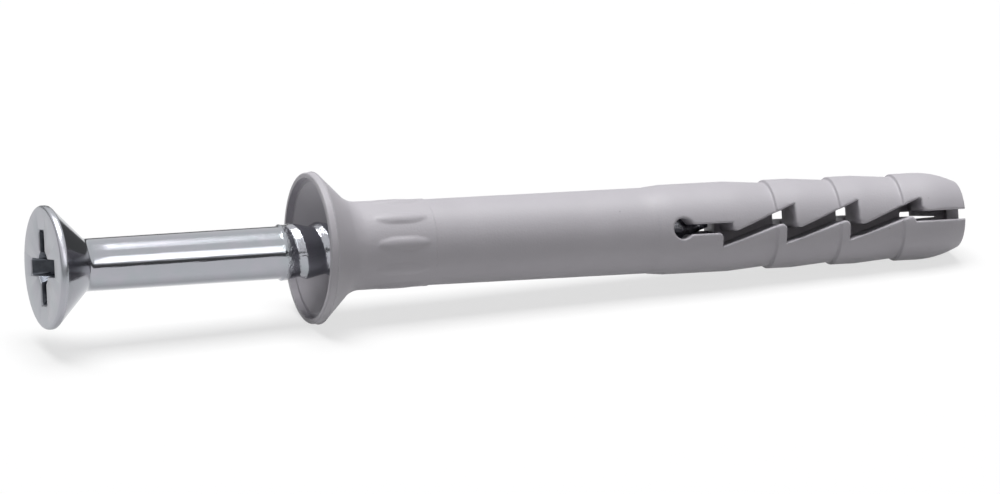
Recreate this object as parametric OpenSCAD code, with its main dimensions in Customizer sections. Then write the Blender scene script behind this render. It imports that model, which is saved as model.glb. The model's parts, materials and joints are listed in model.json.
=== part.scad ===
// Hammer fixing plug: a moulded expansion sleeve with its nail driven part of the way in.
// Both pieces are drawn along +Z, z = 0 on the collar's front plane and the tip at z = sleeve_len,
// then laid down as the plug comes to rest: on its collar rim and on the last barb, tip along +X.

/* [Sleeve] */
// Length from the collar's front plane to the tip
sleeve_len = 40; // [34:0.5:48]
// Diameter of the plain barrel, which is the size of the drilled hole
body_d = 5; // [4.4:0.1:6]
// Height of the neck above the barrel, where it leaves the flare
neck_rise = 0.08; // [0.06:0.01:0.2]
// How much the neck narrows along its length, which is the mould's draft
neck_draft = 0.04; // [0.01:0.01:0.05]
// Where the neck ends, from the front plane
neck_end = 7.1; // [6:0.1:9]
// Rounding of the moulded outer edges
edge_r = 0.12; // [0.04:0.02:0.2]

/* [Collar] */
// Length of the rim's cylindrical land
rim_land = 0.68; // [0.5:0.02:1]
// Radius of the fillet between the flare and the neck
flare_fillet = 1.2; // [0.2:0.1:1.4]
// Room round the nail's head at the mouth of the cup's cone
cup_room = 0.25; // [0.1:0.05:0.4]
// Width of the ledge between the cone and the lip
ledge_w = 0.25; // [0.1:0.05:0.5]
// Thickness of the lip
lip_wall = 0.35; // [0.25:0.05:0.6]
// Depth of the lip, down to the ledge
lip_depth = 0.4; // [0.2:0.05:0.6]

/* [Neck ribs] */
// Number of leaf-shaped ribs that stop the plug from turning
rib_count = 10; // [4:1:12]
// Plain length of the neck before and after each rib
rib_margin = 0.4; // [0.2:0.05:0.8]
// Width of a rib where it leaves the neck
rib_w = 0.8; // [0.5:0.05:1.1]
// Height of a rib above the neck
rib_h = 0.1; // [0.05:0.01:0.16]

/* [Expansion zone] */
// Length of the barbed zone ahead of the first tooth of its jaws
root_len = 3.95; // [3.5:0.05:5]
// Length of the ramp up to the first barbed section
ramp_len = 1; // [0.7:0.1:1.4]
// Height of the first barbed section above the barrel
barb_rise = 0.115; // [0.06:0.005:0.2]
// How much lower each section is than the one before it
barb_shrink = 0.025; // [0:0.005:0.04]
// How deep each section tapers in before the next barb
barb_depth = 0.19; // [0.1:0.01:0.3]
// Length of that taper
barb_taper = 2.4; // [1:0.1:3]
// Distance of each barb's edge ahead of the jaw tooth beside it
barb_lead = 0.5; // [0.2:0.05:1]
// Slope of the nose at the tip, in degrees
nose_angle = 23; // [12:1:32]
// Length of the sloped nose
nose_len = 1.45; // [1:0.05:1.8]
// Radius that blends the nose into the last barb
nose_r = 5.5; // [2:0.1:6]

/* [Slot and jaws] */
// Number of teeth along each jaw
tooth_count = 3; // [1:1:3]
// Spacing of the teeth
tooth_pitch = 3.95; // [3.5:0.05:4.2]
// Length of the straight slot between the last tooth and the tip
exit_len = 3.5; // [3.1:0.1:4.5]
// Width of the slot between the jaws
jaw_gap = 0.74; // [0.5:0.02:0.9]
// Height of a tooth of the lower jaw
lower_tooth = 1.24; // [0.8:0.02:1.4]
// Height of a tooth of the upper jaw
upper_tooth = 1.5; // [1:0.02:1.6]
// How far the feet of the lower teeth lie below the slot's middle
lower_foot = 1.28; // [0.9:0.02:1.4]
// How far the feet of the upper teeth lie below the slot's middle
upper_foot = 0.28; // [0.1:0.02:0.5]
// Rounding of the teeth's peaks
peak_round = 0.22; // [0.1:0.02:0.3]
// Rounding of the teeth's feet
foot_round = 0.1; // [0.04:0.02:0.2]
// Diameter of the keyhole at the slot's root
keyhole_d = 1.4; // [1:0.05:1.8]
// Distance of the keyhole from the start of the barbed zone
keyhole_in = 1.6; // [1.1:0.1:1.8]
// How far the slot's straight root lies below the keyhole's middle
root_drop = 0.08; // [0:0.02:0.2]
// Thickness of the tie that is left between the two slots until the nail tears it
tie_t = 0.4; // [0.2:0.05:0.8]
// Height of the windows in the tie, where the two slots meet between one tooth and the next
window_h = 1.8; // [1:0.1:2]
// Length of the web that joins the jaws at the tip
web_len = 1.3; // [0.6:0.1:1.8]
// Depth of the web below the slot's mouth
web_sink = 0.85; // [0.5:0.05:1.2]

/* [Bore] */
// Radial clearance between the bore and the nail's thread
bore_gap = 0.13; // [0.06:0.01:0.2]
// Gap that is left where the nail, leaning by its own weight, comes nearest to the bore
lean_gap = 0.02; // [0.01:0.01:0.05]
// Diameter of the blind core that the nail's point rests in
core_d = 2.2; // [1.6:0.1:2.6]
// Length of the throat between the bore and the core
throat_len = 0.9; // [0.5:0.1:1.4]
// Where the throat ends, from the start of the barbed zone
throat_in = 2.15; // [1.9:0.05:2.7]
// Room in the blind core ahead of the nail's point
point_room = 0.4; // [0.2:0.1:0.8]

/* [Nail] */
// Length of the nail from its head's face to its point
nail_len = 40.7; // [36:0.1:46]
// Diameter of the plain shank
shank_d = 3.07; // [2.6:0.01:3.2]
// Height of the thread's crest above the shank
thread_rise = 0.115; // [0.05:0.005:0.16]
// Length of the plain shank, head included
plain_len = 14.3; // [10:0.1:18]
// Length of the point
point_len = 3.2; // [2.4:0.1:4.2]
// Diameter of the flat on the point
point_d = 0.3; // [0.1:0.05:0.5]
// Diameter of the countersunk head
head_d = 7.2; // [6.6:0.05:7.4]
// Thickness of the head's rim
head_land = 0.3; // [0.15:0.05:0.5]
// Half angle of the head's cone and of the cup, in degrees
head_angle = 45; // [42:1:48]
// Fillet between the head's cone and the shank
head_fillet = 0.5; // [0.1:0.1:0.8]

/* [Cross recess] */
// Span of the recess across its wings
recess_span = 4.45; // [3.4:0.05:4.8]
// Span at the bottom of the wings
recess_foot = 1.5; // [1:0.1:2]
// Width of a wing
wing_w = 0.85; // [0.6:0.05:1]
// Depth of the recess
recess_depth = 1.9; // [1.2:0.1:2]
// Diameter of the flare at the middle of the cross
flare_d = 2.1; // [1.4:0.1:2.6]

/* [Pose] */
// How far above level the slot faces, in degrees
slot_lift = 17.7; // [0:0.1:60]
// Turn of the cross recess from upright, in degrees
recess_turn = 15; // [0:1:89]

/* [Hidden] */
$fn = 96;
arc_steps = 6;
cut = 1;
// Largest share of a straight side that the rounding of one corner may take
round_share = 0.72;

// Radii of the nail
shank_r = shank_d / 2;
thread_r = shank_r + thread_rise;
head_r = head_d / 2;
point_r = point_d / 2;

// Radii of the sleeve: the cup is sized for the nail's head, and the bore for its thread
seat_r = head_r + cup_room;
lip_r = seat_r + ledge_w;
rim_r = lip_r + lip_wall;
body_r = body_d / 2;
neck_r = body_r + neck_rise;
bore_r = thread_r + bore_gap;
core_r = core_d / 2;

// Radius of barbed section k, and of the waist it tapers to before the next one
function barb_r(k) = body_r + barb_rise - k * barb_shrink;
function waist_r(k) = barb_r(k) - barb_depth;

// Places along the sleeve
flare_end = rim_land + (rim_r - neck_r) / tan(head_angle);
tooth_at = [for (k = [tooth_count:-1:0]) sleeve_len - exit_len - k * tooth_pitch];
expand_at = tooth_at[0] - root_len;
keyhole_at = expand_at + keyhole_in;
throat_end = expand_at + throat_in;
throat_at = throat_end - throat_len;
web_at = sleeve_len - web_len;
nose_at = sleeve_len - nose_len;

// Place of the nail: it leans in the bore, head down, and its point rests in the mouth of the core
bore_at = lip_depth + (seat_r - bore_r) / tan(head_angle);
bore_mid = (bore_at + throat_at) / 2;
nail_lean = atan(2 * (bore_gap - lean_gap) / (throat_at - bore_at));
point_lift = (throat_end - bore_mid) * tan(nail_lean);
point_in = (core_r - lean_gap - point_lift - point_r) * point_len / (thread_r - point_r);
core_end = throat_end + point_in + point_room;
head_at = throat_end + point_in - nail_len;
head_arm = bore_mid - head_at;

// Rest: the plane under the rim's back edge and the nose's blend, both round in section
nose_blend = min(nose_r, round_share * nose_len / cos(nose_angle) / tan(nose_angle / 2));
nose_face_r = barb_r(tooth_count) - nose_len * tan(nose_angle);
rim_edge_z = rim_land - edge_r * tan(head_angle / 2);
rim_edge_r = rim_r - edge_r;
nose_edge_z = nose_at - nose_blend * tan(nose_angle / 2);
nose_edge_r = barb_r(tooth_count) - nose_blend;
rest_run = nose_edge_z - rim_edge_z;
rest_drop = rim_edge_r - nose_edge_r;
rest_tilt = acos((nose_blend - edge_r) / norm([rest_run, rest_drop])) - atan2(rest_run, rest_drop);
rest_z = rim_edge_z * sin(rest_tilt) + rim_edge_r * cos(rest_tilt) + edge_r;
nail_tilt = rest_tilt - nail_lean;
front_x = bore_mid * cos(rest_tilt) - head_arm * cos(nail_tilt) - head_r * sin(nail_tilt);
tip_x = sleeve_len * cos(rest_tilt) + nose_face_r * sin(rest_tilt);
rest_x = -(front_x + tip_x) / 2;

// Outline with rounded corners: each point is [x, y, radius], and the radius may be 0
function unit(v) = v / norm(v);
function flat(p) = [p[0], p[1]];
function corner(a, p, b) =
    let (to_a = flat(a) - flat(p), to_b = flat(b) - flat(p))
    let (u = unit(to_a), v = unit(to_b))
    let (half = acos(max(-1, min(1, u * v))) / 2)
    let (r = min(p[2], round_share * min(norm(to_a), norm(to_b)) * tan(half)))
    r == 0 ? [flat(p)] : arc(flat(p), u, v, half, r);
function arc(p, u, v, half, r) =
    let (middle = p + unit(u + v) * r / sin(half))
    let (from = p + u * r / tan(half) - middle, to = p + v * r / tan(half) - middle)
    let (sweep = 180 - 2 * half, side = sign(from[0] * to[1] - from[1] * to[0]))
    [for (k = [0:arc_steps]) middle + turned(from, side * sweep * k / arc_steps)];
function turned(v, a) = [v[0] * cos(a) - v[1] * sin(a), v[0] * sin(a) + v[1] * cos(a)];
function rounded(p) =
    let (n = len(p))
    [for (k = [0:n - 1]) each corner(p[(k + n - 1) % n], p[k], p[(k + 1) % n])];

// A piece drawn along +Z, rolled about its own axis and laid down at rest
module laid(roll) {
    translate([rest_x, 0, rest_z])
        rotate([0, 90 + rest_tilt, 0])
            rotate([0, 0, roll])
                children();
}

// The nail's lean, about the middle of the bore
module leaning() {
    translate([0, 0, bore_mid])
        rotate([0, -nail_lean, 0])
            translate([0, 0, -bore_mid])
                children();
}

// Outside of the sleeve in section: collar, flare, neck, barrel, barbs and nose
function sleeve_outline() = concat(
    [[0, 0, 0],
     [rim_r, 0, edge_r],
     [rim_r, rim_land, edge_r],
     [neck_r, flare_end, flare_fillet],
     [neck_r - neck_draft, neck_end, 0],
     [body_r, neck_end + neck_rise - neck_draft, 0],
     [body_r, expand_at, 0],
     [barb_r(0), expand_at + ramp_len, 0]],
    [for (k = [0:tooth_count - 1], p = barb_outline(k)) p],
    [[barb_r(tooth_count), nose_at, nose_blend],
     [nose_face_r, sleeve_len, edge_r],
     [0, sleeve_len, 0]]);

// The taper of section k and the edge of the barb after it
function barb_outline(k) =
    let (edge_at = tooth_at[k + 1] - barb_lead)
    [[barb_r(k), edge_at - barb_taper, 0],
     [waist_r(k), edge_at, 0],
     [barb_r(k + 1), edge_at, edge_r]];

// Inside of the sleeve in section: lip, cup, bore, throat and blind core
module bore() {
    rotate_extrude()
        polygon([[0, -cut],
                 [lip_r, -cut],
                 [lip_r, lip_depth],
                 [seat_r, lip_depth],
                 [bore_r, bore_at],
                 [bore_r, throat_at],
                 [core_r, throat_end],
                 [core_r, core_end],
                 [0, core_end]]);
}

// One rib: a slim spindle along the neck, sunk until only its leaf-shaped back shows
module rib() {
    rib_from = flare_end + flare_fillet * tan(head_angle / 2) + rib_margin;
    rib_len = neck_end - rib_margin - rib_from;
    foot_r = neck_r - neck_draft / 2;
    sag = rib_h + foot_r - sqrt(foot_r * foot_r - rib_w * rib_w / 4);
    spindle_r = (rib_w * rib_w / 4 + sag * sag) / (2 * sag);
    bow_r = (rib_len * rib_len / 4 + rib_h * rib_h) / (2 * rib_h);
    half_len = rib_len / 2 + rib_h;
    translate([foot_r + rib_h - spindle_r, 0, rib_from + rib_len / 2])
        rotate_extrude()
            intersection() {
                translate([spindle_r - bow_r, 0])
                    circle(bow_r);
                translate([0, -half_len])
                    square([spindle_r + rib_h, 2 * half_len]);
            }
}

// Edge of the lower jaw from the keyhole to the tip, as [place along the sleeve, height, radius]
function lower_edge() = concat(
    [for (k = [0:tooth_count - 1], p = lower_tooth_edge(k)) p],
    [[tooth_at[tooth_count], lower_tooth - lower_foot, peak_round],
     [tooth_at[tooth_count] + peak_round, -jaw_gap / 2, 0],
     [sleeve_len + cut, -jaw_gap / 2, 0]]);
function lower_tooth_edge(k) =
    [[tooth_at[k], k == 0 ? -jaw_gap / 2 - root_drop : lower_tooth - lower_foot, peak_round],
     [tooth_at[k], -lower_foot, foot_round]];

// Edge of the upper jaw from the tip back to the keyhole
function upper_edge() = concat(
    [[sleeve_len + cut, jaw_gap / 2, 0],
     [tooth_at[tooth_count] + jaw_gap, jaw_gap / 2, peak_round],
     [tooth_at[tooth_count] + jaw_gap, upper_tooth - upper_foot, peak_round]],
    [for (k = [tooth_count - 1:-1:0], p = upper_tooth_edge(k)) p]);
function upper_tooth_edge(k) =
    [[tooth_at[k] + jaw_gap, -upper_foot, peak_round],
     [tooth_at[k] + jaw_gap, k == 0 ? jaw_gap / 2 - root_drop : upper_tooth - upper_foot, foot_round]];

// The slot that the mould's blade leaves on one side, from the tie out, short of the web at the tip
module slot() {
    reach = barb_r(0) + cut;
    difference() {
        translate([0, -tie_t / 2, 0])
            rotate([90, -90, 0])
                linear_extrude(reach) {
                    translate([keyhole_at, 0])
                        circle(d = keyhole_d);
                    polygon(rounded(concat(
                        [[keyhole_at, -jaw_gap / 2 - root_drop, 0]],
                        lower_edge(),
                        upper_edge(),
                        [[keyhole_at, jaw_gap / 2 - root_drop, 0]])));
                }
        translate([-body_r, -(barb_r(tooth_count) - web_sink), web_at])
            cube([body_d, barb_r(tooth_count), web_len + 2 * cut]);
    }
}

// The windows in the tie, one at each notch ahead of a tooth
module windows() {
    for (k = [1:tooth_count])
        translate([-window_h / 2, -tie_t, tooth_at[k]])
            cube([window_h, 2 * tie_t, jaw_gap]);
}

// The moulded sleeve: two toothed jaws on one barrel, held together by the tie and the web at the tip
module sleeve() {
    color("#8d8f92")
        laid(-slot_lift)
            difference() {
                union() {
                    rotate_extrude()
                        polygon(rounded(sleeve_outline()));
                    for (k = [0:rib_count - 1])
                        rotate([0, 0, -90 + k * 360 / rib_count])
                            rib();
                }
                bore();
                for (side = [0, 180])
                    rotate([0, 0, side])
                        slot();
                windows();
            }
}

// The nail in section: countersunk head, plain shank, threaded length at its crest and point
function nail_outline() =
    let (cone_end = head_at + head_land + (head_r - shank_r) / tan(head_angle))
    let (tip = head_at + nail_len)
    [[0, head_at, 0],
     [head_r, head_at, head_land / 2],
     [head_r, head_at + head_land, head_land / 4],
     [shank_r, cone_end, head_fillet],
     [shank_r, head_at + plain_len, 0],
     [thread_r, head_at + plain_len + thread_rise, 0],
     [thread_r, tip - point_len, 0],
     [point_r, tip, 0],
     [0, tip, 0]];

// Cross recess: two tapered wings and the flare where they meet
module recess() {
    for (turn = [0, 90])
        rotate([90, 0, turn])
            linear_extrude(wing_w, center = true)
                polygon([[-recess_span / 2, -cut],
                         [recess_span / 2, -cut],
                         [recess_span / 2, 0],
                         [recess_foot / 2, recess_depth],
                         [-recess_foot / 2, recess_depth],
                         [-recess_span / 2, 0]]);
    rotate_extrude()
        polygon([[0, -cut],
                 [flare_d / 2, -cut],
                 [flare_d / 2, 0],
                 [wing_w / 2, recess_depth],
                 [0, recess_depth]]);
}

// The zinc-plated steel nail, leaning in the sleeve
module nail() {
    color("#c9cdd2")
        laid(0)
            leaning()
                difference() {
                    rotate_extrude()
                        polygon(rounded(nail_outline()));
                    translate([0, 0, head_at])
                        rotate([0, 0, -recess_turn])
                            recess();
                }
}

sleeve();
nail();
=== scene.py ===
# %% [markdown]
# # Hammer fixing plug
# A hammer fixing holds a batten or a cable clip to masonry. It is two pieces: a grey moulded
# sleeve that goes in the drilled hole, and a zinc-plated nail with a screw thread that is struck
# into it and spreads its jaws. The nail stands part of the way in, as the plug is sold.
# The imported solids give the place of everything. Each piece is modelled on a bench first, in
# millimetres, lying along X, and is then laid where its solid is.

# %% Load the frame
import json
import math

import bpy
import numpy as np
from mathutils import Matrix, Vector


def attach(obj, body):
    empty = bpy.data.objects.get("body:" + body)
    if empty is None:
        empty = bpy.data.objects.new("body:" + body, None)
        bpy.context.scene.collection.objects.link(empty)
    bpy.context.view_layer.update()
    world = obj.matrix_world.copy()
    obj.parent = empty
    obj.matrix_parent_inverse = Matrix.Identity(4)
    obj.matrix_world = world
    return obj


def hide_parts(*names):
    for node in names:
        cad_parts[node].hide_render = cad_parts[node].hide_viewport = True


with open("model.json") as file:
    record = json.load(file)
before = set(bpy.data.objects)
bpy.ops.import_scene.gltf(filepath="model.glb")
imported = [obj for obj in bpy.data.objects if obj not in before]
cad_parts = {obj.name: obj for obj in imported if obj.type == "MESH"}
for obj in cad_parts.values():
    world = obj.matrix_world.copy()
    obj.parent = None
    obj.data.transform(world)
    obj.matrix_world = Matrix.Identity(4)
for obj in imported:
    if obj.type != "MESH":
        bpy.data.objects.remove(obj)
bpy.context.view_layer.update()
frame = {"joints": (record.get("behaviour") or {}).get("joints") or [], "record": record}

MM = 0.001


def in_mm(corners, digits=2):
    """Corners of a box in millimetres, rounded for printing."""
    return [[round(c / MM, digits) for c in p] for p in corners]


# %% [markdown]
# ## Camera
# A product shot like this is taken with a long lens from well back, so the plug hardly tapers
# towards its far end. The camera stands to the left, on the head's side, and looks down a little.

# %% Camera
AZIMUTH, ELEVATION = math.radians(-19.0), math.radians(17.8)
DISTANCE = 1.2
AIM = Vector((-1.342, -3.626, 4.56)) * MM

back = Vector((
    math.sin(AZIMUTH) * math.cos(ELEVATION),
    -math.cos(AZIMUTH) * math.cos(ELEVATION),
    math.sin(ELEVATION),
))
bpy.ops.object.select_all(action="DESELECT")
bpy.ops.object.camera_add(
    location=AIM + back * DISTANCE, rotation=(math.pi / 2 - ELEVATION, 0, AZIMUTH)
)
camera = bpy.context.object
camera.name = "long_lens"
camera.data.sensor_width = 36
camera.data.lens = 745.4
camera.data.clip_start = 0.01
bpy.context.scene.camera = camera
print("camera at", [round(c, 4) for c in camera.location])

# %% [markdown]
# ## Outlines
# Both pieces are turned shapes with softened corners. A turner would draw half the section first
# and round its corners. `rounded` puts an arc at each corner, and `with_rows` adds points where
# the skin needs a fine grid.

# %% Outline helpers
CORNER_STEPS, CORNER_SHARE = 6, 0.72


def rounded(points):
    """An open outline of (x, y, radius) points, with an arc at every corner that has a radius."""
    line = [Vector(points[0][:2])]
    for before, here, after in zip(points, points[1:], points[2:]):
        spot, radius = Vector(here[:2]), here[2] if len(here) > 2 else 0
        if not radius:
            line.append(spot)
            continue
        back_way, on_way = Vector(before[:2]) - spot, Vector(after[:2]) - spot
        half = back_way.angle(on_way) / 2
        room = CORNER_SHARE * min(back_way.length, on_way.length)
        radius = min(radius, room * math.tan(half))
        back_way.normalize()
        on_way.normalize()
        middle = spot + (back_way + on_way).normalized() * radius / math.sin(half)
        start = spot + back_way * radius / math.tan(half) - middle
        end = spot + on_way * radius / math.tan(half) - middle
        sweep = math.copysign(math.pi - 2 * half, start.x * end.y - start.y * end.x)
        for k in range(CORNER_STEPS + 1):
            line.append(middle + Matrix.Rotation(sweep * k / CORNER_STEPS, 2) @ start)
    return line + [Vector(points[-1][:2])]


def with_rows(line, spans):
    """The outline with no step longer than the row of the (from, to, row) span it lies in."""
    out = [line[0]]
    for a, b in zip(line, line[1:]):
        middle = (a.x + b.x) / 2
        row = min([w for lo, hi, w in spans if lo <= middle <= hi], default=1e9)
        count = max(1, math.ceil((b - a).length / row - 1e-6))
        out += [a.lerp(b, k / count) for k in range(1, count + 1)]
    return out


# %% [markdown]
# ## Spinning
# The outline is then spun about the axis, as on a lathe, which gives a closed skin. `tally` counts
# what a piece's mesh holds and looks for open edges.


# %% Spinning helpers
def pick(piece):
    """Selects one object and makes it the active one."""
    bpy.ops.object.select_all(action="DESELECT")
    piece.select_set(True)
    bpy.context.view_layer.objects.active = piece


def drawn(name, points, edges, faces=()):
    """A new object from points on the bench."""
    mesh = bpy.data.meshes.new(name)
    mesh.from_pydata([tuple(p) for p in points], edges, faces)
    piece = bpy.data.objects.new(name, mesh)
    bpy.context.scene.collection.objects.link(piece)
    pick(piece)
    return piece


def spin(name, outline, steps):
    """An outline of (place along X, radius) points turned about the X axis into a closed skin."""
    ends = [(k, k + 1) for k in range(len(outline) - 1)]
    piece = drawn(name, [(p.x, 0.0, p.y) for p in outline], ends)
    bpy.ops.object.mode_set(mode="EDIT")
    bpy.ops.mesh.select_all(action="SELECT")
    bpy.ops.mesh.spin(steps=steps, angle=2 * math.pi, center=(0, 0, 0), axis=(1, 0, 0))
    bpy.ops.mesh.select_all(action="SELECT")
    bpy.ops.mesh.remove_doubles(threshold=1e-4)
    bpy.ops.mesh.normals_make_consistent(inside=False)
    bpy.ops.object.mode_set(mode="OBJECT")
    return piece


def tally(piece):
    """Prints what a piece's mesh holds and how many of its edges are open."""
    uses = {}
    for face in piece.data.polygons:
        for key in face.edge_keys:
            uses[key] = uses.get(key, 0) + 1
    piece.data.calc_loop_triangles()
    odd = sum(1 for n in uses.values() if n != 2)
    print(piece.name, len(piece.data.loop_triangles), "triangles,", odd, "odd edges")


# %% [markdown]
# ## Sleeve: the turned skin
# The sleeve is one polyamide moulding. Its collar is a thin lipped cup for the nail's head, then
# come the flare, the neck, the plain barrel, three barbed sections and a blunt nose. Everything
# but the ribs and slots is round, so half of its section is drawn and spun. The inside is drawn
# on the same line: blind core, throat, bore, cup, lip and then the outside.

# %% Sleeve skin
SLEEVE_LEN = 40.0
RIM_R, LIP_R, LIP_DEPTH = 4.45, 4.1, 0.4
SEAT_R, CUP_END = 3.85, 2.47
BORE_R, BORE_END = 1.78, 21.95
CORE_R, CORE_FROM, CORE_END = 1.1, 22.85, 24.98
EDGE = 0.12
FLASH, FLASH_ROUND = 0.05, 0.015
FLASH_FROM, FLASH_AT, FLASH_TO = 0.38, 0.44, 0.48
FLARE_END, FLARE_ROUND = 2.35, 1.6
NECK_R, NECK_END_R, NECK_END, NECK_STEP = 2.58, 2.54, 7.1, 0.04
BODY_R, EXPAND_AT, RAMP_END = 2.5, 20.7, 21.7
RAMP_STEP, RAMP_STEP_LEN = 0.025, 0.08
TOOTH_AT = [24.65, 28.6, 32.55, 36.5]
BARB_R, BARB_SHRINK = 2.615, 0.025
BARB_TAPER, BARB_LEAD, BARB_DEPTH = 2.4, 0.5, 0.19
BARB_FACE_FROM, BARB_FACE_TO = 0.03, 0.06
NOSE_AT, NOSE_ROUND, TIP_R = 38.55, 5.5, 1.925
BORE_ROWS = [(2.5, 21.9, 1.0)]
SKIN_ROWS = [(0, 7.2, 0.1), (7.2, 20.5, 1.0), (20.5, 39.9, 0.25)]
SLEEVE_STEPS = 160


def barb_r(k):
    """Radius of barbed section k."""
    return BARB_R - BARB_SHRINK * k


inside = [
    (CORE_END, 0.0),
    (CORE_END, CORE_R),
    (CORE_FROM, CORE_R),
    (BORE_END, BORE_R),
    (CUP_END, BORE_R),
    (LIP_DEPTH, SEAT_R),
    (LIP_DEPTH, LIP_R),
    (0.0, LIP_R),
]
outside = [
    (0.0, LIP_R),
    (0.0, RIM_R - FLASH, EDGE),
    (FLASH_FROM, RIM_R - FLASH),
    (FLASH_AT, RIM_R, FLASH_ROUND),
    (FLASH_TO, RIM_R - FLASH),
    (FLARE_END, NECK_R, FLARE_ROUND),
    (NECK_END, NECK_END_R),
    (NECK_END + NECK_STEP, BODY_R),
    (EXPAND_AT, BODY_R),
    (EXPAND_AT + RAMP_STEP_LEN, BODY_R + RAMP_STEP),
    (RAMP_END, barb_r(0)),
]
for k in range(3):
    edge_at = TOOTH_AT[k + 1] - BARB_LEAD
    outside += [
        (edge_at - BARB_TAPER, barb_r(k)),
        (edge_at - BARB_FACE_FROM, barb_r(k) - BARB_DEPTH, EDGE),
        (edge_at + BARB_FACE_TO, barb_r(k + 1), EDGE),
    ]
outside += [(NOSE_AT, barb_r(3), NOSE_ROUND), (SLEEVE_LEN, TIP_R, EDGE), (SLEEVE_LEN, 0.0)]
bore_line = with_rows(rounded(inside), BORE_ROWS)
skin_line = with_rows(rounded(outside), SKIN_ROWS)
sleeve = spin("sleeve_moulding", bore_line + skin_line[1:], SLEEVE_STEPS)
tally(sleeve)

# %% [markdown]
# ## Sleeve: neck ribs
# Ten leaf-shaped ribs on the neck stop the sleeve from turning in its hole. On the mould they are
# shallow scoops. Here the fine grid of the neck is pulled out to the back of a slim spindle, one
# for each rib, and the pull fades in softly, as polished mould steel leaves it.

# %% Neck ribs
RIB_COUNT, RIB_W, RIB_H, RIB_CROWN = 10, 0.8, 0.13, 0.7
RIB_FROM, RIB_TO = 3.45, 6.7
SKIN_SLACK = 0.02
foot_r = (NECK_R + NECK_END_R) / 2
rib_half = RIB_W / 2 / foot_r


def rib_height(along, turn):
    """Height of the neck's nearest rib at a place along the sleeve and a turn about its axis."""
    pitch = 2 * math.pi / RIB_COUNT
    off = (turn + pitch / 2) % pitch - pitch / 2
    end = (along - (RIB_FROM + RIB_TO) / 2) / ((RIB_TO - RIB_FROM) / 2)
    crown = 1 - end * end - (off / rib_half) ** 2
    return RIB_H * max(0.0, crown) ** RIB_CROWN


raised = 0
for v in sleeve.data.vertices:
    radius = math.hypot(v.co.y, v.co.z)
    if RIB_FROM < v.co.x < RIB_TO and radius > NECK_END_R - SKIN_SLACK:
        turn = math.atan2(v.co.z, -v.co.y)
        grown = (radius + rib_height(v.co.x, turn)) / radius
        v.co.y *= grown
        v.co.z *= grown
        raised += grown > 1
print("ribs:", RIB_COUNT, "from", raised, "raised points")

# %% [markdown]
# ## Sleeve: outline of the toothed slots
# A blade of the mould leaves a slot on each side: a keyhole, a straight run, three saw teeth that
# lock the jaws together, and a straight way out at the tip. Its outline is drawn flat, as it is
# seen from outside, with a small arc at each corner.

# %% Slot outline
JAW_GAP, ROOT_DROP = 0.74, 0.08
KEYHOLE_AT, KEYHOLE_R, KEYHOLE_FILLET, KEYHOLE_STEPS = 22.3, 0.7, 0.25, 40
LOWER_TOOTH, UPPER_TOOTH, LOWER_FOOT, UPPER_FOOT = 1.24, 1.5, 1.28, 0.28
PEAK, FOOT = 0.22, 0.1
CUTTER_END = 41.0
SLOT_ROWS = [(20, CUTTER_END, 0.12)]


def arc(centre, radius, start, end, count):
    """Points of an arc, its angles in radians."""
    angles = [start + (end - start) * k / count for k in range(count + 1)]
    return [centre + Vector((math.cos(a), math.sin(a))) * radius for a in angles]


def keyhole_blend(side, level):
    """Arc from the slot's root to the keyhole, above or below, and its angle on the keyhole."""
    reach = KEYHOLE_R + KEYHOLE_FILLET
    height = level + side * KEYHOLE_FILLET
    along = KEYHOLE_AT + math.sqrt(reach ** 2 - height ** 2)
    tilt = math.asin(abs(height) / reach)
    start, end = -side * math.pi / 2, side * (tilt - math.pi)
    return arc(Vector((along, height)), KEYHOLE_FILLET, start, end, CORNER_STEPS), tilt


def slot_outline():
    """The slot seen from outside, run round anticlockwise from the keyhole's lower side."""
    half = JAW_GAP / 2
    blend_up, tilt_up = keyhole_blend(1, half - ROOT_DROP)
    blend_down, tilt_down = keyhole_blend(-1, -half - ROOT_DROP)
    lower = [tuple(blend_down[0])]
    for k in range(3):
        peak = -half - ROOT_DROP if k == 0 else LOWER_TOOTH - LOWER_FOOT
        lower += [(TOOTH_AT[k], peak, PEAK), (TOOTH_AT[k], -LOWER_FOOT, FOOT)]
    lower += [(TOOTH_AT[3], LOWER_TOOTH - LOWER_FOOT, PEAK), (TOOTH_AT[3] + PEAK, -half)]
    lower += [(CUTTER_END, -half)]
    upper = [(CUTTER_END, half), (TOOTH_AT[3] + JAW_GAP, half, PEAK)]
    upper += [(TOOTH_AT[3] + JAW_GAP, UPPER_TOOTH - UPPER_FOOT, PEAK)]
    for k in (2, 1, 0):
        foot = half - ROOT_DROP if k == 0 else UPPER_TOOTH - UPPER_FOOT
        upper += [(TOOTH_AT[k] + JAW_GAP, -UPPER_FOOT, PEAK), (TOOTH_AT[k] + JAW_GAP, foot, FOOT)]
    upper += [tuple(blend_up[0])]
    keyhole = Vector((KEYHOLE_AT, 0))
    round_back = arc(keyhole, KEYHOLE_R, tilt_up, 2 * math.pi - tilt_down, KEYHOLE_STEPS)
    line = rounded(lower) + rounded(upper) + blend_up[1:] + round_back[1:] + blend_down[::-1][1:]
    return with_rows(line, SLOT_ROWS)[:-1]


slot_line = slot_outline()
print("slot outline:", len(slot_line), "points")

# %% [markdown]
# ## Sleeve: the slot cutter
# A plain cut would leave knife edges, and the real lips are rolled over softly. So the cutter is a
# stack of rings. Each ring is the slot's outline set wider by a little more, and sits on the
# sleeve's own skin, so that the cut leaves a rounded lip.

# %% Slot cutter
TIE = 0.4
LIP_ROLL, LIP_INSET = 0.13, 0.09
LIP_SHARES = (1.0, 0.6, 0.3, 0.1, 0.03)
MOUTH_WIDER, MOUTH_ABOVE = 1.3, 0.25
CUTTER_TOP, TIP_BACK = 3.2, 0.1


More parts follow.
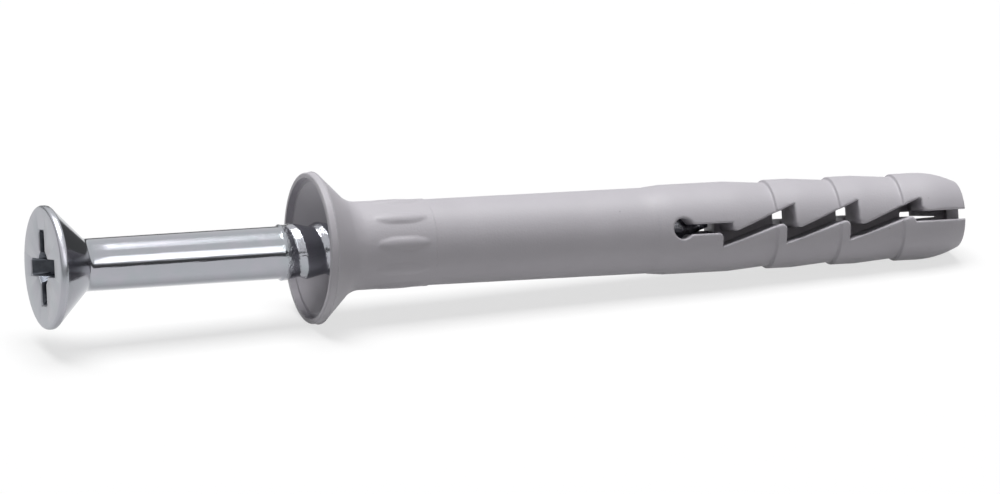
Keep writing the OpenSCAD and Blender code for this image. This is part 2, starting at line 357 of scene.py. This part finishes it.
def set_wider(line, by):
    """The closed outline moved outwards by a distance."""
    wide = []
    for k, here in enumerate(line):
        way_in = (here - line[k - 1]).normalized()
        way_out = (line[(k + 1) % len(line)] - here).normalized()
        normal = Vector((way_in.y + way_out.y, -way_in.x - way_out.x)).normalized()
        lean = max(0.5, normal.dot(Vector((way_in.y, -way_in.x))))
        wide.append(here + normal * by / lean)
    return wide


def lip_opening(share):
    """How far a rolled lip stands back at a share of its depth: 1 at its top, 0 at its foot."""
    return 1 - math.sqrt(1 - (1 - share) ** 2)


# The places are set a hair apart, because the lookup needs them to rise.
skin_along = np.array([p.x for p in skin_line]) + np.arange(len(skin_line)) * 1e-7
skin_radius = np.array([p.y for p in skin_line])


def skin_at(along):
    """Outer radius of the sleeve at a place along it, a little back from the tip at most."""
    return float(np.interp(min(along, SLEEVE_LEN - TIP_BACK), skin_along, skin_radius))


def slot_ring(line, depth):
    """The outline as a ring that lies a given depth under the sleeve's skin."""
    ring = []
    for p in line:
        out = math.sqrt(max((skin_at(p.x) - depth) ** 2 - p.y ** 2, 0.01))
        ring.append((p.x, -out, p.y))
    return ring


line = set_wider(slot_line, -LIP_INSET)
rings = [[(p.x, -TIE / 2, p.y) for p in line]]
for share in LIP_SHARES:
    rings.append(slot_ring(set_wider(line, LIP_ROLL * lip_opening(share)), LIP_ROLL * share))
mouth = set_wider(line, LIP_ROLL * MOUTH_WIDER)
rings.append(slot_ring(mouth, -LIP_ROLL * MOUTH_ABOVE))
rings.append([(p.x, -CUTTER_TOP, p.y) for p in mouth])
print("slot cutter:", len(rings), "rings of", len(line), "points")

# %% [markdown]
# ## Sleeve: cutting the slots
# The two cutters stop short of each other, so that a thin tie stays along the middle until the nail
# tears it. The tie has a window at each notch and a narrow slit towards the tip. At the tip itself
# the cutters stay clear of the web that joins the jaws.

# %% Cut the slots
WEB_AT, WEB_REACH, WEB_BLOCK = 39.27, 0.7, 6.0
WINDOW_H = 1.8
EXIT_SLIT = [(37.1, -0.16), (38.8, -0.1), (38.8, -0.06), (37.1, 0.04)]


def loft(name, rings):
    """A closed skin through rings of points, all with the same count."""
    count = len(rings[0])
    points = [p for ring in rings for p in ring]
    faces = [tuple(range(count)), tuple(range(len(points) - count, len(points)))]
    for k in range(len(rings) - 1):
        for j in range(count):
            a, b = k * count + j, k * count + (j + 1) % count
            faces.append((a, b, b + count, a + count))
    piece = drawn(name, points, [], faces)
    bpy.ops.object.mode_set(mode="EDIT")
    bpy.ops.mesh.select_all(action="SELECT")
    bpy.ops.mesh.normals_make_consistent(inside=False)
    bpy.ops.object.mode_set(mode="OBJECT")
    return piece


def block(size, centre):
    """A plain block on the bench."""
    bpy.ops.object.select_all(action="DESELECT")
    bpy.ops.mesh.primitive_cube_add(size=1)
    piece = bpy.context.object
    piece.scale = size
    piece.location = centre
    bpy.ops.object.transform_apply(location=True, rotation=True, scale=True)
    return piece


def cut(piece, tool):
    """Takes the tool's shape out of the piece and removes the tool."""
    pick(piece)
    modifier = piece.modifiers.new("cut", "BOOLEAN")
    modifier.operation = "DIFFERENCE"
    modifier.solver = "EXACT"
    modifier.object = tool
    bpy.ops.object.modifier_apply(modifier=modifier.name)
    pick(tool)
    bpy.ops.object.delete()
    pick(piece)


blade = loft("slot_blade", rings)
web_centre = (WEB_AT + WEB_BLOCK / 2, WEB_BLOCK / 2 - WEB_REACH, 0)
cut(blade, block((WEB_BLOCK, WEB_BLOCK, WEB_BLOCK), web_centre))
bpy.ops.object.duplicate()
far_blade = bpy.context.object
bpy.ops.transform.rotate(value=math.pi, orient_axis="X", center_override=(0, 0, 0))
bpy.ops.object.transform_apply(location=True, rotation=True, scale=True)
cut(sleeve, blade)
cut(sleeve, far_blade)
for notch in TOOTH_AT[1:]:
    cut(sleeve, block((JAW_GAP, 2 * TIE, WINDOW_H), (notch + JAW_GAP / 2, 0, 0)))
slit = loft("exit_slit", [[(x, side * TIE, z) for x, z in EXIT_SLIT] for side in (-1, 1)])
cut(sleeve, slit)
tally(sleeve)

# %% [markdown]
# ## Sleeve: laid down
# The plug lies on its collar and its nose. The mount on the barrel gives a point of the axis and
# its direction, so the bench piece goes there by one turn and one shift, rolled about its axis
# until the slot faces as it does on the solid.

# %% Lay the sleeve
SLOT_LIFT = math.radians(17.7)
BARREL_MIDDLE = 13.92
SMOOTH_ANGLE = math.radians(36)


def lay(piece, place):
    """Lays a bench piece where its solid is, and leaves its object at the origin."""
    pick(piece)
    piece.matrix_world = place @ Matrix.Scale(MM, 4)
    bpy.context.view_layer.update()
    bpy.ops.object.transform_apply(location=True, rotation=True, scale=True)
    bpy.ops.object.shade_smooth_by_angle(angle=SMOOTH_ANGLE)
    print(piece.name, "box", in_mm((piece.bound_box[0], piece.bound_box[6])))


mounts = {m["name"]: m for m in frame["record"]["mounts"]}
axis = Vector(mounts["plug_body"]["axis"])
collar_front = Vector(mounts["plug_body"]["pos_m"]) - axis * BARREL_MIDDLE * MM
dip = math.asin(-axis.z)
sleeve_place = (
    Matrix.Translation(collar_front)
    @ Matrix.Rotation(dip, 4, "Y")
    @ Matrix.Rotation(-SLOT_LIFT, 4, "X")
)
lay(sleeve, sleeve_place)
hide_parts("sleeve")
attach(sleeve, "sleeve")

# %% [markdown]
# ## Nail: turned blank and thread
# The nail is cold-headed wire with a rolled thread. The thread is a one-way saw tooth: a long easy
# slope towards the point, so that a hammer drives it straight in, and a steep back that holds, so
# that it can still be screwed out. The blank is spun, and the fine rows of its threaded length are
# moved in and out along a right-hand helix. That is easier to run in and out than a swept coil.

# %% Nail blank and thread
NAIL_LEN, PLAIN_LEN, POINT_LEN = 40.7, 14.3, 3.2
HEAD_R, HEAD_EDGE, HEAD_LAND, LAND_EDGE = 3.6, 0.18, 0.4, 0.2
SHANK_R, CONE_ROUND, POINT_R = 1.535, 0.5, 0.15
CREST_R, CREST_RUN, ROOT_R = 1.65, 0.115, 1.4
THREAD_PITCH, THREAD_START, THREAD_RISE_SHARE = 1.66, 0.75, 0.3
THREAD_FROM, POINT_SLACK, POINT_THREAD = 0.05, 0.02, 0.1
NAIL_ROWS = [(3, PLAIN_LEN, 1.0), (PLAIN_LEN, NAIL_LEN - 0.01, 0.08)]
NAIL_STEPS = 96
blank = [
    (0.0, 0.0),
    (0.0, HEAD_R, HEAD_EDGE),
    (HEAD_LAND, HEAD_R, LAND_EDGE),
    (HEAD_LAND + HEAD_R - SHANK_R, SHANK_R, CONE_ROUND),
    (PLAIN_LEN, SHANK_R),
    (PLAIN_LEN + CREST_RUN, CREST_R),
    (NAIL_LEN - POINT_LEN, CREST_R),
    (NAIL_LEN, POINT_R),
    (NAIL_LEN, 0.0),
]
nail = spin("zinc_nail", with_rows(rounded(blank), NAIL_ROWS), NAIL_STEPS)


def thread_depth(along, turn):
    """How far the surface lies under the crest, as a share of the thread's depth."""
    phase = ((along - PLAIN_LEN) / THREAD_PITCH - turn / (2 * math.pi) + THREAD_START) % 1.0
    fall = phase / (1 - THREAD_RISE_SHARE)
    rise = (1 - phase) / THREAD_RISE_SHARE
    return min(fall, rise, 1.0)


for v in nail.data.vertices:
    radius = math.hypot(v.co.y, v.co.z)
    if v.co.x > PLAIN_LEN + THREAD_FROM and radius > POINT_R + POINT_SLACK:
        turn = math.atan2(v.co.z, v.co.y)
        run_in = (v.co.x - PLAIN_LEN) / THREAD_PITCH
        depth = (CREST_R - ROOT_R) * min(1.0, radius / CREST_R + POINT_THREAD, run_in)
        grown = (radius - depth * thread_depth(v.co.x, turn)) / radius
        v.co.y *= grown
        v.co.z *= grown
tally(nail)

# %% [markdown]
# ## Nail: cross recess
# The punch leaves a cross with sloping wing ends and a round flare in the middle, so that the nail
# can be screwed out again. The cutter is lofted from crosses that shrink with depth. The first few
# are a little wider, which rounds the edge that the punch leaves on the head's face.

# %% Cross recess
RECESS_SPAN, RECESS_FOOT, WING_W, WING_FOOT_W = 4.45, 1.5, 1.0, 0.75
RECESS_DEPTH, FLARE_R = 1.9, 1.05
RECESS_LIP, RECESS_LIP_SHARES = 0.07, (0.1, 0.35, 1.0)
CROSS_POINTS = 160


def cross_ring(depth, wider):
    """One cross of the recess, at a depth under the head's face."""
    share = max(0.0, depth / RECESS_DEPTH)
    span = (RECESS_SPAN + (RECESS_FOOT - RECESS_SPAN) * share) / 2 + wider
    wing = (WING_W + (WING_FOOT_W - WING_W) * share) / 2 + wider
    flare = FLARE_R + (WING_FOOT_W / 2 - FLARE_R) * share + wider
    ring = []
    for k in range(CROSS_POINTS):
        turn = 2 * math.pi * k / CROSS_POINTS
        c, s = abs(math.cos(turn)) + 1e-9, abs(math.sin(turn)) + 1e-9
        reach = max(min(span / c, wing / s), min(span / s, wing / c), flare)
        ring.append((depth, reach * math.cos(turn), reach * math.sin(turn)))
    return ring


cross = [cross_ring(-0.5, RECESS_LIP * 2), cross_ring(-0.02, RECESS_LIP * 1.2)]
for share in RECESS_LIP_SHARES:
    cross.append(cross_ring(RECESS_LIP * share, RECESS_LIP * lip_opening(share)))
cross += [cross_ring(RECESS_DEPTH * k / 4, 0.0) for k in (1, 2, 3, 4)]
cut(nail, loft("recess_punch", cross))
tally(nail)

# %% [markdown]
# ## Nail: laid in the sleeve
# The nail hangs a little head-down in its roomy bore. The joint's axis gives that lean, and the
# mount on the head's face gives its place.

# %% Lay the nail
RECESS_TURN = math.radians(15)
drive = Vector(frame["joints"][0]["axis"])
head_centre = Vector(mounts["drive_recess"]["pos_m"])
nail_place = (
    Matrix.Translation(head_centre)
    @ Matrix.Rotation(math.asin(-drive.z), 4, "Y")
    @ Matrix.Rotation(-RECESS_TURN, 4, "X")
)
lay(nail, nail_place)
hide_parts("nail")
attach(nail, "nail")

# %% [markdown]
# ## Colours and nodes
# Colours are written as they are read off a screen, in sRGB hex, and one function turns them to
# the linear values that the shader works in. One more function adds a node with its settings.


# %% Node helpers
def colour(text):
    """Linear RGBA of an sRGB hex colour."""
    parts = [int(text[k : k + 2], 16) / 255 for k in (1, 3, 5)]
    return [p / 12.92 if p <= 0.04045 else ((p + 0.055) / 1.055) ** 2.4 for p in parts] + [1.0]


def add_node(tree, kind, sockets=None, **settings):
    """A new node: settings are its properties, sockets its inputs as values or as links."""
    made = tree.nodes.new(kind)
    for name, value in settings.items():
        setattr(made, name, value)
    for key, value in (sockets or {}).items():
        if isinstance(value, bpy.types.NodeSocket):
            tree.links.new(value, made.inputs[key])
        else:
            made.inputs[key].default_value = value
    return made


def new_material(name):
    """A material with an empty node tree, and that tree."""
    material = bpy.data.materials.new(name)
    material.use_nodes = True
    material.node_tree.nodes.clear()
    return material, material.node_tree


# %% [markdown]
# ## Finish: moulded polyamide
# Grey polyamide comes out of a spark-eroded mould with a fine dull grain and a soft sheen, and the
# pigment is not quite even. A colour mix takes its two colours at inputs 6 and 7.

# %% Moulded polyamide
polyamide, tree = new_material("moulded_polyamide")
spot = add_node(tree, "ShaderNodeTexCoord").outputs["Object"]
mottle = add_node(
    tree, "ShaderNodeTexNoise", {"Vector": spot, "Scale": 1 / (3 * MM), "Detail": 3.0}
)
tone = add_node(
    tree,
    "ShaderNodeMix",
    {"Factor": mottle.outputs["Fac"], 6: colour("#aaa7ad"), 7: colour("#b6b3b9")},
    data_type="RGBA",
)
specks = add_node(tree, "ShaderNodeTexVoronoi", {"Vector": spot, "Scale": 1 / (1.6 * MM)})
speck = add_node(
    tree,
    "ShaderNodeMapRange",
    {"Value": specks.outputs["Distance"], "From Min": 0.02, "From Max": 0.05},
)
spotted = add_node(
    tree,
    "ShaderNodeMix",
    {"Factor": speck.outputs["Result"], 6: colour("#9a979d"), 7: tone.outputs[2]},
    data_type="RGBA",
)
grain = add_node(
    tree, "ShaderNodeTexNoise", {"Vector": spot, "Scale": 1 / (0.12 * MM), "Detail": 2.0}
)
relief = add_node(
    tree,
    "ShaderNodeBump",
    {"Height": grain.outputs["Fac"], "Strength": 0.35, "Distance": 0.03 * MM},
)
shader = add_node(
    tree,
    "ShaderNodeBsdfPrincipled",
    {
        "Base Color": spotted.outputs[2],
        "Roughness": 0.5,
        "IOR": 1.53,
        "Normal": relief.outputs["Normal"],
    },
)
add_node(tree, "ShaderNodeOutputMaterial", {"Surface": shader.outputs["BSDF"]})
sleeve.data.materials.clear()
sleeve.data.materials.append(polyamide)
print("finish:", polyamide.name)

# %% [markdown]
# ## Finish: zinc plate
# Bright zinc plate over drawn steel mirrors the room in long stripes on the shank, with a faint
# blue cast from the passivation. The wire was drawn through a die, which leaves fine lines along
# it. They are a noise that is stretched along the nail. Rolling scuffs the thread, and the struck
# head is duller.

# %% Zinc plate
SCUFF_BLEND = 0.2
zinc, tree = new_material("zinc_plate")
spot = add_node(tree, "ShaderNodeTexCoord").outputs["Object"]
mottle = add_node(
    tree, "ShaderNodeTexNoise", {"Vector": spot, "Scale": 1 / (1.2 * MM), "Detail": 3.0}
)
tone = add_node(
    tree,
    "ShaderNodeMix",
    {"Factor": mottle.outputs["Fac"], 6: colour("#a0a8ab"), 7: colour("#aeaab3")},
    data_type="RGBA",
)
stretched = add_node(tree, "ShaderNodeMapping", {"Vector": spot, "Scale": (0.03, 1.0, 1.0)})
lines = add_node(
    tree,
    "ShaderNodeTexNoise",
    {"Vector": stretched.outputs["Vector"], "Scale": 1 / (0.1 * MM), "Detail": 3.0},
)
drawn_lines = add_node(
    tree,
    "ShaderNodeBump",
    {"Height": lines.outputs["Fac"], "Strength": 0.25, "Distance": 0.01 * MM},
)
along = add_node(tree, "ShaderNodeSeparateXYZ", {"Vector": spot})
threaded = add_node(
    tree,
    "ShaderNodeMapRange",
    {
        "Value": along.outputs["X"],
        "From Min": head_centre.x + (PLAIN_LEN - SCUFF_BLEND) * MM,
        "From Max": head_centre.x + (PLAIN_LEN + SCUFF_BLEND) * MM,
        "To Max": 0.6,
    },
)
scuffs = add_node(
    tree, "ShaderNodeTexNoise", {"Vector": spot, "Scale": 1 / (0.18 * MM), "Detail": 3.0}
)
relief = add_node(
    tree,
    "ShaderNodeBump",
    {
        "Height": scuffs.outputs["Fac"],
        "Strength": threaded.outputs["Result"],
        "Distance": 0.05 * MM,
        "Normal": drawn_lines.outputs["Normal"],
    },
)
dull = add_node(
    tree,
    "ShaderNodeMapRange",
    {
        "Value": along.outputs["X"],
        "From Min": head_centre.x + 0.2 * MM,
        "From Max": head_centre.x + 0.7 * MM,
        "To Min": 0.32,
        "To Max": 0.1,
    },
)
shader = add_node(
    tree,
    "ShaderNodeBsdfPrincipled",
    {
        "Base Color": tone.outputs[2],
        "Metallic": 1.0,
        "Roughness": dull.outputs["Result"],
        "Normal": relief.outputs["Normal"],
    },
)
add_node(tree, "ShaderNodeOutputMaterial", {"Surface": shader.outputs["BSDF"]})
nail.data.materials.clear()
nail.data.materials.append(zinc)
print("finish:", zinc.name)

# %% [markdown]
# ## Painted shade: the recess
# The walls of the recess are painted dark and less shiny, as painted shade for the deep punch where
# little light reaches. Its faces are the ones inside a cone under the head's face, and they take a
# material of their own.

# %% Recess painted shade
WALL_FROM, WALL_TO = 0.06, 2.0
WALL_R, WALL_SLOPE = 2.45, 0.75
# Painted shade: a dark, mottled zinc colour stands in for the shadow inside the recess.
grey, tree = new_material("recess_painted_shade")
spot = add_node(tree, "ShaderNodeTexCoord").outputs["Object"]
shade_mottle = add_node(
    tree, "ShaderNodeTexNoise", {"Vector": spot, "Scale": 1 / (0.4 * MM), "Detail": 3.0}
)
tone = add_node(
    tree,
    "ShaderNodeMix",
    {"Factor": shade_mottle.outputs["Fac"], 6: colour("#3c3e44"), 7: colour("#6c7077")},
    data_type="RGBA",
)
shader = add_node(
    tree,
    "ShaderNodeBsdfPrincipled",
    {"Base Color": tone.outputs[2], "Metallic": 1.0, "Roughness": 0.3},
)
add_node(tree, "ShaderNodeOutputMaterial", {"Surface": shader.outputs["BSDF"]})
nail.data.materials.append(grey)
inner = 0
# The faces inside the cone take the painted shade.
for face in nail.data.polygons:
    way = Vector(face.center) - head_centre
    depth = way.dot(drive) / MM
    off_axis = (way - drive * way.dot(drive)).length / MM
    if WALL_FROM < depth < WALL_TO and off_axis < WALL_R - WALL_SLOPE * depth:
        face.material_index = 1
        inner += 1
print("recess faces:", inner)

# %% [markdown]
# ## Floor
# The plug lies on a white sheet. Close to it the sheet is plain paper and takes its shadow.
# Further off it fades to pure white for the eye and for mirrors, as an overexposed backdrop does,
# so that no horizon shows. It throws less light back on the plug than it shows to the eye.

# %% Floor
NEAR, FAR, SHADOW_LIFT = 0.1, 0.35, 0.7
PAPER_THROWN, PAPER_SEEN = 0.58, 0.82


def seen_directly(tree):
    """1 for rays that show the background: from the camera, off a mirror or through glass."""
    rays = add_node(tree, "ShaderNodeLightPath").outputs
    seen = rays["Is Camera Ray"]
    for kind in ("Is Glossy Ray", "Is Transmission Ray"):
        either = add_node(tree, "ShaderNodeMath", {0: seen, 1: rays[kind]}, operation="MAXIMUM")
        seen = either.outputs[0]
    return seen


bpy.ops.object.select_all(action="DESELECT")
bpy.ops.mesh.primitive_plane_add(size=4, location=(0, 0, 0))
floor = bpy.context.object
floor.name = "table"
paper, tree = new_material("white_sheet")
spot = add_node(tree, "ShaderNodeTexCoord").outputs["Object"]
distance = add_node(tree, "ShaderNodeVectorMath", {0: spot}, operation="LENGTH")
fade = add_node(
    tree,
    "ShaderNodeMapRange",
    {
        "Value": distance.outputs["Value"],
        "From Min": NEAR,
        "From Max": FAR,
        "To Min": SHADOW_LIFT,
    },
)
seen = seen_directly(tree)
whiten = add_node(
    tree, "ShaderNodeMath", {0: fade.outputs["Result"], 1: seen}, operation="MULTIPLY"
)
pale = add_node(
    tree, "ShaderNodeMapRange", {"Value": seen, "To Min": PAPER_THROWN, "To Max": PAPER_SEEN}
)
plain = add_node(tree, "ShaderNodeBsdfDiffuse", {"Color": pale.outputs["Result"]})
white = add_node(tree, "ShaderNodeEmission", {"Color": (1, 1, 1, 1), "Strength": 1.0})
shader = add_node(
    tree, "ShaderNodeMixShader", {0: whiten.outputs[0], 1: plain.outputs[0], 2: white.outputs[0]}
)
add_node(tree, "ShaderNodeOutputMaterial", {"Surface": shader.outputs[0]})
floor.data.materials.append(paper)
print("floor:", floor.name, "plain to", NEAR, "m, white from", FAR, "m")

# %% [markdown]
# ## Light
# One soft box hangs over the plug, so its top is bright and its flank falls into shade. Two narrow
# panels stand in front, one above the other. They only show in mirrors: the shank has them as its
# long white stripes, and the seam between them as a thin line.

# %% Light
STRIPE_FAR, STRIPE_W = 1.6, 0.3


def panel(name, centre, size, energy):
    """An area light, wide by high, that faces the plug."""
    place = Vector(centre)
    bpy.ops.object.select_all(action="DESELECT")
    bpy.ops.object.light_add(
        type="AREA", location=place, rotation=place.to_track_quat("Z", "Y").to_euler()
    )
    light = bpy.context.object
    light.name = name
    light.data.shape = "RECTANGLE"
    light.data.size, light.data.size_y = size
    light.data.energy = energy
    return light


def stripe(name, low, high, energy):
    """A narrow panel between two elevations, where the shank mirrors it to the camera."""
    middle, side = math.radians((low + high) / 2), -AZIMUTH
    way = Vector((
        math.sin(side) * math.cos(middle),
        -math.cos(side) * math.cos(middle),
        math.sin(middle),
    ))
    size = (STRIPE_W, math.radians(high - low) * STRIPE_FAR)
    light = panel(name, way * STRIPE_FAR, size, energy)
    light.visible_diffuse = False


panel("soft_box", (0, 0.16, 1.5), (1.0, 1.0), 30)
stripe("upper_stripe", 51.5, 74, 1.33)
stripe("lower_stripe", 19, 46, 1.55)

# %% [markdown]
# ## Background
# A white room. Its walls give the plug a low even light, and they are pure white to the camera.
# In a mirror the lower walls are dark, which draws the shank's dark lines.

# %% Background
WALL_LIGHT, WALL_FOOT = 0.08, 0.1
FOOT_TOP, FOOT_END = 0.2, 0.3
world = bpy.data.worlds.new("white_room")
bpy.context.scene.world = world
world.use_nodes = True
tree = world.node_tree
tree.nodes.clear()
strength = add_node(
    tree,
    "ShaderNodeMapRange",
    {"Value": seen_directly(tree), "To Min": WALL_LIGHT, "To Max": 1.0},
)
way = add_node(tree, "ShaderNodeTexCoord")
height = add_node(tree, "ShaderNodeSeparateXYZ", {"Vector": way.outputs["Generated"]})
foot = add_node(
    tree,
    "ShaderNodeMapRange",
    {
        "Value": height.outputs["Z"],
        "From Min": FOOT_TOP,
        "From Max": FOOT_END,
        "To Min": WALL_FOOT,
        "To Max": 1.0,
    },
)
rays = add_node(tree, "ShaderNodeLightPath")
mirrored = add_node(
    tree,
    "ShaderNodeMix",
    {"Factor": rays.outputs["Is Glossy Ray"], "A": 1.0, "B": foot.outputs["Result"]},
)
level = add_node(
    tree,
    "ShaderNodeMath",
    {0: strength.outputs["Result"], 1: mirrored.outputs["Result"]},
    operation="MULTIPLY",
)
sky = add_node(
    tree, "ShaderNodeBackground", {"Color": (1, 1, 1, 1), "Strength": level.outputs[0]}
)
add_node(tree, "ShaderNodeOutputWorld", {"Surface": sky.outputs["Background"]})
bpy.context.scene.view_settings.view_transform = "Standard"
print("background:", world.name)
